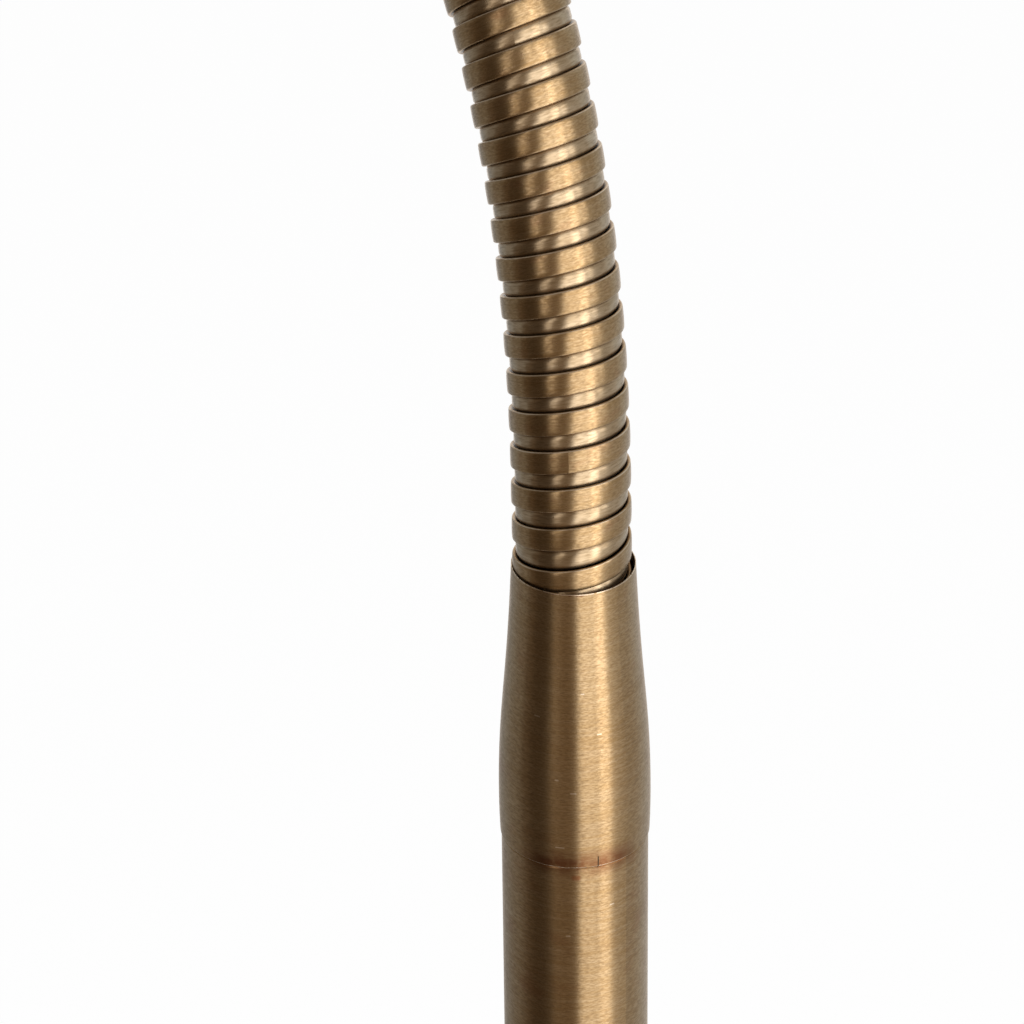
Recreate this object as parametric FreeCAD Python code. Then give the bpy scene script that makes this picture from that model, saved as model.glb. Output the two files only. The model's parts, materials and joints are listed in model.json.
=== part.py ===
"""Gooseneck reading floor lamp: weighted base, three-piece pole, tapered collar, wound neck and spot head.

Millimetres. +Z is up, and the origin is the centre of the base's underside. The neck arches towards -X.
"""
import FreeCAD, Part
import math
import os

from FreeCAD import Placement, Rotation, Vector

os.makedirs("parts", exist_ok=True)

# ---------------------------------------------------------------- driving dimensions
slide_fit = 0.05            # radial clearance of parts that seat in each other

# base
base_radius = 125.0
base_side_height = 14.0     # top of the cover's upright side
base_edge_radius = 7.0
base_height = 24.0          # top of the cover at its middle
cover_wall = 1.2
cover_lift = 1.0            # the cover's rim stays this far off the floor
cover_flat_radius = 33.0    # flat middle that the foot stands on
pad_thickness = 2.4
weight_inset = 13.0         # from the cover's side in to the weight's side
pad_inset = 2.0             # from the weight's side in to the pad's
weight_edge_height = 17.0
weight_boss_radius = 30.0
weight_boss_flare = 3.0
weight_boss_drop = 1.4      # height of the boss's sloping edge
recess_radius = 20.0        # pocket under the weight for the nut
recess_height = 12.6
channel_width = 8.0         # groove under the weight for the lead
channel_height = 8.0
channel_overrun = 1.0       # the groove's cut runs past the weight's side by this
nipple_radius = 6.0         # hollow threaded tube that clamps base, foot and pole
nipple_bore = 4.0
nipple_clearance = 0.3      # in the holes that the nipple only passes through
nipple_below_nut = 0.5
nipple_engagement = 18.0    # length of the nipple inside the pole plug
base_nut_width = 18.0
base_nut_thickness = 4.5
washer_radius = 11.5
washer_thickness = 1.0
gland_radius = 4.2
gland_flange_radius = 5.3
gland_flange_thickness = 2.5
gland_bore = 3.0
gland_rim = 1.5             # width of the outer flange's upright edge
gland_inner_gap = 0.2       # between the cover and the flange inside it
gland_outer_gap = 0.02
gland_depth = 12.0          # how far the gland reaches in from the cover's side

# foot of the pole
foot_radius = 31.0
foot_edge = 2.5
foot_height = 20.0
foot_floor = 3.0
foot_lip_radius = 14.3
foot_waist_radius = 19.5    # the sweep from the flange up to the lip passes through here
foot_waist_height = 8.4

# pole
pole_radius = 12.5
pole_wall = 1.2
pole_section_length = 341.0
pole_end_chamfer = 0.25
coupler_length = 44.0
coupler_bore = 6.0
pole_plug_length = 26.0

# collar between pole and neck
collar_height = 52.7
collar_bottom_radius = 12.7
collar_belly_radius = 12.85
collar_belly_height = 10.0
collar_shoulder_radius = 12.52
collar_shoulder_height = 20.0
collar_taper_radius = 11.29
collar_taper_height = 35.8
collar_throat_radius = 10.49
collar_throat_height = 49.0
collar_lip = 0.12           # wall at the rim
collar_edge = 0.3
mouth_clearance = 0.32      # round the neck's band, at the mouths of collar and ferrule
collar_cone_start = 23.0    # inside, where the socket narrows towards the mouth
collar_cone_end = 36.0
plug_below_seam = 22.0
plug_above_seam = 8.0

# bushes that hold the ends of the neck
bush_wall = 1.05
cup_clearance = 0.1         # between the bush and the ferrule round it
bush_depth = 12.0
bush_floor = 3.0
bush_play = 0.2
stub_radius = 5.0
stub_bore = 3.2
stub_nut_width = 16.0
stub_nut_thickness = 6.0
stub_end = 2.5              # thread showing past the nut

# neck: a round wire and a wedge-shaped band wound side by side
winding_pitch = 6.43
wire_radius = 2.35
wire_helix_radius = 7.0
band_radius = 9.88
band_width = 3.9
band_corner = 0.35
band_flank_angle = 35.0
band_tip = 0.35
flank_clearance = 0.15
band_settle = 0.75          # how far the band follows the wires towards the inside of a bend
joint_gap = 0.8             # slit between two stretches of one winding
wire_sides = 10
points_per_turn = 12        # of the curves that the windings' surfaces follow
turns_per_stretch = 5.25
neck_joints = 13

# line of the neck, by arc length from the collar's rim
lean_angle = 0.28
lean_azimuth = 226.5
kick_angle = 9.68
kick_azimuth = 128.1
kick_start = -2.0
kick_end = 12.0
arch_azimuth = 180.0
lower_bend_radius = 398.0
arch_bend_radius = 160.0
bend_ease_length = 97.0
winding_azimuth = 316.5     # where the wire's middle stands at winding_mark
winding_mark = 4.917
neck_past_last_joint = 8.0

# lead inside the lamp
lead_radius = 2.5
lead_base_bend = 5.0
lead_step = 22.0
lead_first_place = -14.0    # first corner of the lead's route in the neck, from the collar's rim
lead_in_gland = 6.0
lead_end_gap = 1.0          # between the lead's end and the circuit board
lead_arc_share = 0.45       # share of a run that each arc may take

# head, measured along its own axis from the ferrule's mouth
ferrule_length = 38.0
ferrule_radius = 13.0
ferrule_taper_length = 30.0
ferrule_throat_radius = 10.67
ferrule_throat_place = 6.0
ferrule_swell_radius = 12.4
ferrule_swell_place = 21.0
ferrule_mouth_bore_length = 12.0
ferrule_bush_start = 14.0
sink_core_radius = 14.0
sink_fin_radius = 26.0
sink_fin_count = 6
sink_fin_thickness = 1.8
sink_fin_pitch = 3.7
sink_fin_edge = 0.4
sink_first_fin_radius = 20.0
sink_plate_radius = 27.0
sink_plate_thickness = 7.0
sink_pocket_radius = 10.0
sink_stub_wall = 8.0        # thickness of sink that the neck's stub clamps
housing_wall = 1.4
housing_rear_radius = 28.6
housing_shoulder_radius = 33.2
housing_shoulder = 22.0
housing_mouth_radius = 34.6
housing_length = 58.0
board_radius = 20.0
board_thickness = 1.6
emitter_radius = 7.0
emitter_thickness = 1.0
reflector_throat = 8.2
reflector_wall = 1.0
reflector_rim_thickness = 1.2
reflector_rim_width = 1.6
lens_thickness = 3.0
lens_play = 0.3
bezel_inner_radius = 30.6
bezel_front = 2.4
bezel_edge = 0.8
bezel_edge_height = 0.96
bezel_seat = 0.4
screw_circle = 14.0
screw_radius = 1.5
screw_head_radius = 2.7
screw_head_thickness = 1.6
screw_length = 6.0
screw_count = 3

# dimmer on the head's upper side
dimmer_place = 92.0
pot_radius = 5.5
pot_inner = 24.6
pot_height = 6.2
shaft_radius = 3.0
shaft_hole_radius = 3.6
knob_radius = 8.0
knob_height = 9.5
knob_lift = 0.7             # gap between the knob and the housing
knob_top_edge = 0.8
knob_flutes = 24
flute_radius = 0.55
shaft_in_knob = 6.5
shaft_end_gap = 0.3
flute_start = 1.5           # plain band at the knob's foot

# ---------------------------------------------------------------- derived sizes
foot_seat = base_height + foot_floor
seam_height = foot_seat + 3 * pole_section_length
rim_height = seam_height + collar_height
pole_bore = pole_radius - pole_wall
lead_height = pad_thickness + channel_height / 2
recess_top = pad_thickness + recess_height
weight_radius = base_radius - weight_inset
pad_radius = weight_radius - pad_inset
mouth_radius = band_radius + mouth_clearance
rim_radius = mouth_radius + collar_lip
cup_inside = band_radius + bush_play
cup_outside = cup_inside + bush_wall


# ---------------------------------------------------------------- small helpers
def revolved(points):
    """Solid turned about +Z from a closed (radius, height) outline of straight lines."""
    corners = [Vector(r, 0, z) for r, z in points]
    face = Part.Face(Part.makePolygon(corners + corners[:1]))
    return face.revolve(Vector(0, 0, 0), Vector(0, 0, 1), 360)


def revolved_edges(edges):
    """Solid turned about +Z from a closed outline of edges in the XZ plane."""
    face = Part.Face(Part.Wire(edges))
    return face.revolve(Vector(0, 0, 0), Vector(0, 0, 1), 360)


def line(a, b):
    return Part.makeLine(Vector(a[0], 0, a[1]), Vector(b[0], 0, b[1]))


def spline(points):
    curve = Part.BSplineCurve()
    curve.interpolate([Vector(r, 0, z) for r, z in points])
    return curve.toShape()


def arc(a, b, c):
    return Part.Arc(Vector(a[0], 0, a[1]), Vector(b[0], 0, b[1]), Vector(c[0], 0, c[1])).toShape()


def ring(inner, outer, low, high):
    return revolved([(inner, low), (outer, low), (outer, high), (inner, high)])


def hex_nut(width, bore, low, thickness):
    corner = width / math.sqrt(3)
    angles = [math.radians(60 * i) for i in range(7)]
    outline = Part.makePolygon([Vector(corner * math.cos(a), corner * math.sin(a), low) for a in angles])
    body = Part.Face(outline).extrude(Vector(0, 0, thickness))
    return body.cut(Part.makeCylinder(bore, thickness, Vector(0, 0, low)))


def export(name, shape):
    shape.exportStep("parts/" + name + ".step")


# ---------------------------------------------------------------- line of the neck
def horizontal(azimuth):
    angle = math.radians(azimuth)
    return Vector(math.cos(angle), math.sin(angle), 0)


def tilt_axis(azimuth):
    """Axis about which an upright line tilts towards the azimuth."""
    return Vector(0, 0, 1).cross(horizontal(azimuth))


lean = Rotation(tilt_axis(lean_azimuth), lean_angle)
kicked = Rotation(tilt_axis(kick_azimuth), kick_angle).multVec(Vector(0, 0, 1))
arch_axis = kicked.cross(horizontal(arch_azimuth)).normalize()
joint_spacing = turns_per_stretch * winding_pitch
first_joint = winding_mark + winding_pitch * (270.0 - winding_azimuth) / 360.0
joint_places = [first_joint + joint_spacing * k for k in range(neck_joints)]
ferrule_mouth = joint_places[-1] + neck_past_last_joint
bush_floor_low = plug_above_seam + bush_floor - collar_height
bush_floor_high = ferrule_mouth + ferrule_bush_start + bush_depth


def arch_turn(s):
    """Degrees that the neck has turned over by arc length s, apart from the kick at the rim."""
    s = min(max(s, 0.0), ferrule_mouth)
    eased = min(s, bend_ease_length)
    sharpening = (1 / arch_bend_radius - 1 / lower_bend_radius) / bend_ease_length
    turn = eased / lower_bend_radius + sharpening * eased ** 2 / 2 + (s - eased) / arch_bend_radius
    return math.degrees(turn)


def direction(s):
    t = min(max((s - kick_start) / (kick_end - kick_start), 0.0), 1.0)
    kick = Rotation(tilt_axis(kick_azimuth), kick_angle * t * t * (3 - 2 * t))
    arch = Rotation(arch_axis, arch_turn(s))
    return arch.multVec(kick.multVec(lean.multVec(Vector(0, 0, 1))))


class NeckLine:
    """Centre, direction and two cross directions along the neck, found by stepping along it."""

    step = 0.25

    def __init__(self, start, end):
        self.start = start
        count = int(math.ceil((end - start) / self.step)) + 1
        along = direction(start)
        side = (Vector(1, 0, 0) - along * along.x).normalize()
        centre = Vector(0, 0, rim_height + start)
        self.rows = [(centre, along, side)]
        for i in range(1, count + 1):
            new_along = direction(start + i * self.step)
            centre = centre + (along + new_along) * (self.step / 2)
            along = new_along
            side = (side - along * side.dot(along)).normalize()
            self.rows.append((centre, along, side))

    def at(self, s):
        """Centre, direction and the two cross directions at arc length s."""
        place = (s - self.start) / self.step
        i = min(max(int(place), 0), len(self.rows) - 2)
        part = place - i
        centre, along, side = [a + (b - a) * part for a, b in zip(self.rows[i], self.rows[i + 1])]
        along.normalize()
        side = (side - along * side.dot(along)).normalize()
        return centre, along, side, along.cross(side)

    def curvature(self, s):
        """Curvature vector, which points to the inside of the bend."""
        return (self.at(s + 1.0)[1] - self.at(s - 1.0)[1]) * 0.5


neck = NeckLine(bush_floor_low - 10.0, bush_floor_high + 10.0)


def wire_azimuth(s):
    return math.radians(winding_azimuth) + 2 * math.pi * (s - winding_mark) / winding_pitch


def winding_point(s, azimuth, radius, offset, settle):
    """Point of a winding at arc length s: radius from the neck's line, offset along it."""
    centre, along, side, across = neck.at(s)
    outward = side * math.cos(azimuth) + across * math.sin(azimuth)
    return centre + neck.curvature(s) * settle + outward * radius + along * offset


def wound_solid(section, start, end, half_turn, settle):
    """Solid of a (radius, offset) section wound along the neck from start to end."""
    count = max(6, int(points_per_turn * (end - start) / winding_pitch))
    places = [start + (end - start) * i / count for i in range(count + 1)]

    def corner(s, radius, offset):
        return winding_point(s, wire_azimuth(s) - half_turn, radius, offset, settle)

    curves = []
    for radius, offset in section:
        curve = Part.BSplineCurve()
        curve.interpolate(
            Points=[corner(s, radius, offset) for s in places],
            Parameters=[float(i) for i in range(count + 1)],
        )
        curves.append(curve)
    faces = []
    for first, second in zip(curves, curves[1:] + curves[:1]):
        surface = Part.BSplineSurface()
        surface.buildFromPolesMultsKnots(
            [first.getPoles(), second.getPoles()],
            [2, 2],
            first.getMultiplicities(),
            [0.0, 1.0],
            first.getKnots(),
            False,
            False,
            1,
            first.Degree,
        )
        faces.append(surface.toShape())
    for s in (start, end):
        outline = [corner(s, radius, offset) for radius, offset in section]
        faces.append(Part.Face(Part.makePolygon(outline + outline[:1])))
    shell = Part.Shell(faces)
    shell.sewShape()
    solid = Part.Solid(shell)
    if solid.Volume < 0:
        solid.reverse()
    return solid


def wire_section():
    angles = [2 * math.pi * (i + 0.5) / wire_sides for i in range(wire_sides)]
    return [(wire_helix_radius + wire_radius * math.cos(a), wire_radius * math.sin(a)) for a in angles]


def band_apex():
    """Radius where the band's two flanks would meet, flank_clearance off the wires beside it."""
    angle = math.radians(band_flank_angle)
    room = winding_pitch / 2 * math.cos(angle) - wire_radius - flank_clearance
    return wire_helix_radius - room / math.sin(angle)


def band_section():
    slope = math.tan(math.radians(band_flank_angle))
    half = band_width / 2
    tip_half = band_tip * slope
    flank_top = min(band_apex() + half / slope, band_radius - band_corner)
    flank_half = (flank_top - band_apex()) * slope
    right = [
        (band_radius, half - band_corner),
        (flank_top, flank_half),
        (band_apex() + band_tip, tip_half),
    ]
    left = [(r, -offset) for r, offset in reversed(right)]
    return right + left


def settle_factor():
    """Shift of the band per unit of curvature as the wires close up inside a bend."""
    lever = winding_pitch / 2 * wire_helix_radius / math.tan(math.radians(band_flank_angle))
    return band_settle * lever


def build_windings():
    wire_slit = winding_pitch * joint_gap / 2 / (2 * math.pi * wire_helix_radius)
    band_slit = winding_pitch * joint_gap / 2 / (2 * math.pi * band_radius)
    cuts = [None] + joint_places + [None]
    for k in range(neck_joints + 1):
        low, high = cuts[k], cuts[k + 1]
        wire_low = bush_floor_low + wire_radius + bush_play if low is None else low + wire_slit
        wire_high = bush_floor_high - wire_radius - bush_play if high is None else high - wire_slit
        band_low = bush_floor_low + band_width / 2 + bush_play if low is None else low + band_slit
        band_high = bush_floor_high - band_width / 2 - bush_play if high is None else high - band_slit
        export("inner_winding_%02d" % k, wound_solid(wire_section(), wire_low, wire_high, 0.0, 0.0))
        band = wound_solid(band_section(), band_low, band_high, math.pi, settle_factor())
        export("outer_winding_%02d" % k, band)


# ---------------------------------------------------------------- base
def cover_outline(inset):
    """Closed outline of the base cover's form, moved inwards by inset."""
    side = base_radius - inset
    corner = base_edge_radius - inset
    shoulder = base_side_height + base_edge_radius - inset
    middle = base_radius - base_edge_radius
    bend = corner * math.sqrt(0.5)
    edges = [
        line((0, cover_lift), (side, cover_lift)),
        line((side, cover_lift), (side, base_side_height)),
        arc(
            (side, base_side_height),
            (middle + bend, base_side_height + bend),
            (middle, shoulder),
        ),
        line((middle, shoulder), (cover_flat_radius, base_height - inset)),
        line((cover_flat_radius, base_height - inset), (0, base_height - inset)),
        line((0, base_height - inset), (0, cover_lift)),
    ]
    return edges


def build_base():
    inlet_axis = Vector(1, 0, 0)
    through = Part.makeCylinder(nipple_radius + nipple_clearance, base_height + foot_floor)
    inlet = Part.makeCylinder(
        gland_radius + slide_fit, base_radius, Vector(weight_radius, 0, lead_height), inlet_axis
    )
    cover = revolved_edges(cover_outline(0.0)).cut(revolved_edges(cover_outline(cover_wall)))
    cover = cover.cut(through).cut(inlet)
    export("base_cover", cover)

    ceiling = base_height - cover_wall
    boss_foot = ceiling - weight_boss_drop
    weight = revolved(
        [
            (0, pad_thickness),
            (weight_radius, pad_thickness),
            (weight_radius, weight_edge_height),
            (weight_boss_radius + weight_boss_flare, boss_foot),
            (weight_boss_radius, ceiling),
            (0, ceiling),
        ]
    )
    recess = Part.makeCylinder(recess_radius, recess_height, Vector(0, 0, pad_thickness))
    channel_length = weight_radius + channel_overrun
    channel_corner = Vector(0, -channel_width / 2, pad_thickness)
    channel = Part.makeBox(channel_length, channel_width, channel_height, channel_corner)
    export("base_weight", weight.cut(recess).cut(channel).cut(through))

    export("base_pad", ring(0, pad_radius, 0, pad_thickness))

    washer_low = recess_top - washer_thickness
    nut_low = washer_low - base_nut_thickness
    nipple_low = nut_low - nipple_below_nut
    nipple_high = foot_seat + nipple_engagement
    export("base_washer", ring(nipple_radius + nipple_clearance, washer_radius, washer_low, recess_top))
    export("base_nut", hex_nut(base_nut_width, nipple_radius + slide_fit, nut_low, base_nut_thickness))
    export("base_nipple", ring(nipple_bore, nipple_radius, nipple_low, nipple_high))

    inside = base_radius - cover_wall - gland_inner_gap
    outside = base_radius + gland_outer_gap
    gland = revolved(
        [
            (gland_bore, base_radius - gland_depth),
            (gland_radius, base_radius - gland_depth),
            (gland_flange_radius, inside - gland_flange_thickness),
            (gland_flange_radius, inside),
            (gland_radius, inside),
            (gland_radius, outside),
            (gland_flange_radius, outside),
            (gland_flange_radius, base_radius + gland_rim),
            (gland_radius, base_radius + gland_flange_thickness),
            (gland_bore, base_radius + gland_flange_thickness),
        ]
    )
    gland.Placement = Placement(Vector(0, 0, lead_height), Rotation(Vector(0, 1, 0), 90))
    export("cable_gland", gland)


# ---------------------------------------------------------------- pole
def build_pole():
    bore = pole_radius + slide_fit
    foot_top = base_height + foot_height
    sweep_low = base_height + foot_edge
    foot = revolved_edges(
        [
            line((0, base_height), (foot_radius, base_height)),
            line((foot_radius, base_height), (foot_radius, sweep_low)),
            spline(
                [
                    (foot_radius, sweep_low),
                    (foot_waist_radius, base_height + foot_waist_height),
                    (foot_lip_radius, foot_top),
                ]
            ),
            line((foot_lip_radius, foot_top), (0, foot_top)),
            line((0, foot_top), (0, base_height)),
        ]
    )
    foot = foot.cut(Part.makeCylinder(bore, foot_height, Vector(0, 0, foot_seat)))
    foot = foot.cut(Part.makeCylinder(nipple_radius + nipple_clearance, foot_seat))
    export("pole_foot", foot)

    plug = ring(nipple_radius + slide_fit, pole_bore - slide_fit, foot_seat, foot_seat + pole_plug_length)
    export("pole_plug", plug)

    for i, name in enumerate(["pole_lower", "pole_middle", "pole_upper"]):
        low = foot_seat + i * pole_section_length
        high = low + pole_section_length
        tube = revolved(
            [
                (pole_bore, low),
                (pole_radius - pole_end_chamfer, low),
                (pole_radius, low + pole_end_chamfer),
                (pole_radius, high - pole_end_chamfer),
                (pole_radius - pole_end_chamfer, high),
                (pole_bore, high),
            ]
        )
        export(name, tube)
    for i, name in enumerate(["coupler_lower", "coupler_upper"]):
        middle = foot_seat + (i + 1) * pole_section_length
        half = coupler_length / 2
        export(name, ring(coupler_bore, pole_bore - slide_fit, middle - half, middle + half))


# ---------------------------------------------------------------- collar and neck ends
def build_collar():
    socket = pole_bore
    belly = [
        (collar_bottom_radius, collar_edge),
        (collar_belly_radius, collar_belly_height),
        (collar_shoulder_radius, collar_shoulder_height),
        (collar_taper_radius, collar_taper_height),
        (collar_throat_radius, collar_throat_height),
        (rim_radius, collar_height),
    ]
    collar = revolved_edges(
        [
            line((socket, 0), (collar_bottom_radius - collar_edge, 0)),
            line((collar_bottom_radius - collar_edge, 0), (collar_bottom_radius, collar_edge)),
            spline(belly),
            line((rim_radius, collar_height), (mouth_radius, collar_height)),
            line((mouth_radius, collar_height), (mouth_radius, collar_cone_end)),
            line((mouth_radius, collar_cone_end), (socket, collar_cone_start)),
            line((socket, collar_cone_start), (socket, 0)),
        ]
    )
    collar.translate(Vector(0, 0, seam_height))
    export("neck_collar", collar)

    low = seam_height - plug_below_seam
    high = seam_height + plug_above_seam
    export("collar_plug", ring(stub_radius + slide_fit, socket - slide_fit, low, high))
    export("neck_bush", end_bush(high, plug_above_seam + plug_below_seam))
    nut_low = low - stub_nut_thickness
    export("collar_nut", hex_nut(stub_nut_width, stub_radius + slide_fit, nut_low, stub_nut_thickness))


def end_bush(floor_low, clamped):
    """Cup that the neck's end is pressed into, on a hollow threaded stub that points down."""
    floor_high = floor_low + bush_floor
    stub_low = floor_low - clamped - stub_nut_thickness - stub_end
    return revolved(
        [
            (stub_bore, stub_low),
            (stub_radius, stub_low),
            (stub_radius, floor_low),
            (cup_outside, floor_low),
            (cup_outside, floor_high + bush_depth),
            (cup_inside, floor_high + bush_depth),
            (cup_inside, floor_high),
            (stub_bore, floor_high),
        ]
    )


# ---------------------------------------------------------------- head
def head_placement():
    """Frame of the head: local +Z runs out along its axis, local +X is its upper side."""
    mouth, along = neck.at(ferrule_mouth)[:2]
    upper = (Vector(0, 0, 1) - along * along.z).normalize()
    return Placement(mouth, Rotation(upper, along.cross(upper), along, "ZXY"))


head = head_placement()
bush_floor_end = ferrule_bush_start + bush_depth + bush_floor
sink_front = ferrule_length + sink_fin_count * sink_fin_pitch + sink_plate_thickness
sink_plate_low = sink_front - sink_plate_thickness
sink_nut_seat = bush_floor_end + sink_stub_wall
housing_front = sink_plate_low + housing_length
lens_front = housing_front - bezel_seat
lens_back = lens_front - lens_thickness
reflector_front = lens_back
board_front = sink_front + board_thickness


def place(name, shape):
    shape.Placement = head.multiply(shape.Placement)
    export(name, shape)


def build_head_joint():
    cup_room = cup_outside + cup_clearance
    ferrule = revolved_edges(
        [
            line((mouth_radius, 0), (rim_radius, 0)),
            spline(
                [
                    (rim_radius, 0),
                    (ferrule_throat_radius, ferrule_throat_place),
                    (ferrule_swell_radius, ferrule_swell_place),
                    (ferrule_radius, ferrule_taper_length),
                ]
            ),
            line((ferrule_radius, ferrule_taper_length), (ferrule_radius, ferrule_length)),
            line((ferrule_radius, ferrule_length), (cup_room, ferrule_length)),
            line((cup_room, ferrule_length), (cup_room, ferrule_bush_start)),
            line((cup_room, ferrule_bush_start), (mouth_radius, ferrule_mouth_bore_length)),
            line((mouth_radius, ferrule_mouth_bore_length), (mouth_radius, 0)),
        ]
    )
    place("head_ferrule", ferrule)
    bush = end_bush(-bush_floor_end, sink_stub_wall)
    bush.Placement = Placement(Vector(0, 0, 0), Rotation(Vector(1, 0, 0), 180))
    place("head_bush", bush)
    nut = hex_nut(stub_nut_width, stub_radius + slide_fit, sink_nut_seat, stub_nut_thickness)
    place("head_nut", nut)


def screw_spots():
    turn = 360.0 / screw_count
    return [horizontal(turn * i) * screw_circle for i in range(screw_count)]


def build_heat_sink():
    spigot = cup_outside + cup_clearance - slide_fit
    outline = [(stub_radius + slide_fit, bush_floor_end), (spigot, bush_floor_end), (spigot, ferrule_length)]
    for i in range(sink_fin_count):
        low = ferrule_length + i * sink_fin_pitch
        high = low + sink_fin_thickness
        fin = sink_fin_radius if i else sink_first_fin_radius
        edge = fin - sink_fin_edge
        outline += [(edge, low), (fin, low + sink_fin_edge), (fin, high - sink_fin_edge), (edge, high)]
        outline += [(sink_core_radius, high), (sink_core_radius, low + sink_fin_pitch)]
    outline += [
        (sink_plate_radius, sink_plate_low),
        (sink_plate_radius, sink_front),
        (sink_pocket_radius, sink_front),
        (sink_pocket_radius, sink_nut_seat),
        (stub_radius + slide_fit, sink_nut_seat),
    ]
    sink = revolved(outline)
    for spot in screw_spots():
        low = Vector(spot.x, spot.y, sink_front - screw_length)
        sink = sink.cut(Part.makeCylinder(screw_radius + slide_fit, screw_length, low))
    place("heat_sink", sink)


def housing_outline(inset):
    """Outer form of the housing, moved inwards by inset."""
    low = sink_plate_low
    return spline(
        [
            (housing_rear_radius - inset, low),
            (housing_shoulder_radius - inset, low + housing_shoulder),
            (housing_mouth_radius - inset, housing_front),
        ]
    )


def build_housing():
    rear_bore = sink_plate_radius + slide_fit
    inner = housing_outline(housing_wall)
    rear = inner.Vertexes[0].Point
    front = inner.Vertexes[-1].Point
    housing = revolved_edges(
        [
            housing_outline(0.0),
            line((housing_mouth_radius, housing_front), (front.x, front.z)),
            inner,
            line((rear.x, rear.z), (housing_rear_radius, rear.z)),
        ]
    )
    housing = housing.cut(Part.makeCylinder(rear_bore, sink_plate_thickness, Vector(0, 0, sink_plate_low)))
    shaft_hole = Part.makeCylinder(
        shaft_hole_radius, housing_mouth_radius, Vector(0, 0, dimmer_place), Vector(1, 0, 0)
    )
    place("head_housing", housing.cut(shaft_hole))


def housing_bore():
    return housing_mouth_radius - housing_wall - lens_play


def build_light():
    board = ring(0, board_radius, sink_front, board_front)
    board = board.fuse(Part.makeCylinder(emitter_radius, emitter_thickness, Vector(0, 0, board_front)))
    screws = []
    for spot in screw_spots():
        shank_low = Vector(spot.x, spot.y, sink_front - screw_length)
        shank = Part.makeCylinder(screw_radius, screw_length + board_thickness, shank_low)
        cap_low = Vector(spot.x, spot.y, board_front)
        cap = Part.makeCylinder(screw_head_radius, screw_head_thickness, cap_low)
        hole_low = Vector(spot.x, spot.y, sink_front)
        board = board.cut(Part.makeCylinder(screw_radius + slide_fit, board_thickness, hole_low))
        screws.append(shank.fuse(cap).removeSplitter())
    place("led_board", board.removeSplitter())
    place("head_screws", Part.Compound(screws))

    bore = housing_bore()
    mouth = bore - reflector_rim_width
    rim_low = reflector_front - reflector_rim_thickness
    reflector = revolved(
        [
            (reflector_throat, board_front),
            (reflector_throat + reflector_wall, board_front),
            (mouth + reflector_wall, rim_low),
            (bore - lens_play, rim_low),
            (bore - lens_play, reflector_front),
            (mouth, reflector_front),
        ]
    )
    place("reflector", reflector)
    place("lens", ring(0, bore, lens_back, lens_front))
    bezel = revolved(
        [
            (bezel_inner_radius, lens_front),
            (bore, lens_front),
            (bore, housing_front),
            (housing_mouth_radius, housing_front),
            (housing_mouth_radius, housing_front + bezel_front - bezel_edge_height),
            (housing_mouth_radius - bezel_edge, housing_front + bezel_front),
            (bezel_inner_radius + bezel_edge, housing_front + bezel_front),
            (bezel_inner_radius, housing_front + bezel_front - bezel_edge_height),
        ]
    )
    place("bezel_ring", bezel)


def build_dimmer():
    knob_low = housing_mouth_radius + knob_lift
    outward = Placement(Vector(0, 0, dimmer_place), Rotation(Vector(0, 1, 0), 90))
    shaft_top = knob_low + shaft_in_knob
    pot = revolved(
        [
            (0, pot_inner),
            (pot_radius, pot_inner),
            (pot_radius, pot_inner + pot_height),
            (shaft_radius, pot_inner + pot_height),
            (shaft_radius, shaft_top - shaft_end_gap),
            (0, shaft_top - shaft_end_gap),
        ]
    )
    pot.Placement = outward
    place("dimmer_pot", pot)

    top = knob_low + knob_height
    knob = revolved(
        [
            (shaft_radius + slide_fit, knob_low),
            (knob_radius, knob_low),
            (knob_radius, top - knob_top_edge),
            (knob_radius - knob_top_edge, top),
            (0, top),
            (0, shaft_top),
            (shaft_radius + slide_fit, shaft_top),
        ]
    )
    for i in range(knob_flutes):
        spot = horizontal(360.0 * i / knob_flutes) * knob_radius
        low = Vector(spot.x, spot.y, knob_low + flute_start)
        knob = knob.cut(Part.makeCylinder(flute_radius, knob_height, low))
    knob.Placement = outward
    place("dimmer_knob", knob)


# ---------------------------------------------------------------- lead
def rounded_path(points, radii):
    """Straight runs joined by tangent arcs; radii holds one radius for each inner point."""
    edges = []
    start = points[0]
    for before, corner, after, radius in zip(points, points[1:], points[2:], radii):
        back = (before - corner).normalize()
        onward = (after - corner).normalize()
        half_turn = (math.pi - back.getAngle(onward)) / 2
        reach = radius * math.tan(half_turn)
        arc_start = corner + back * reach
        arc_end = corner + onward * reach
        towards_middle = (back + onward).normalize()
        middle = corner + towards_middle * (radius / math.cos(half_turn) - radius)
        edges.append(Part.makeLine(start, arc_start))
        edges.append(Part.Arc(arc_start, middle, arc_end).toShape())
        start = arc_end
    edges.append(Part.makeLine(start, points[-1]))
    return Part.Wire(edges)


def easy_radius(before, corner, after):
    """Largest arc that the two runs at a corner leave room for."""
    back = before - corner
    onward = after - corner
    half_turn = (math.pi - back.getAngle(onward)) / 2
    return lead_arc_share * min(back.Length, onward.Length) / math.tan(half_turn)


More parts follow.
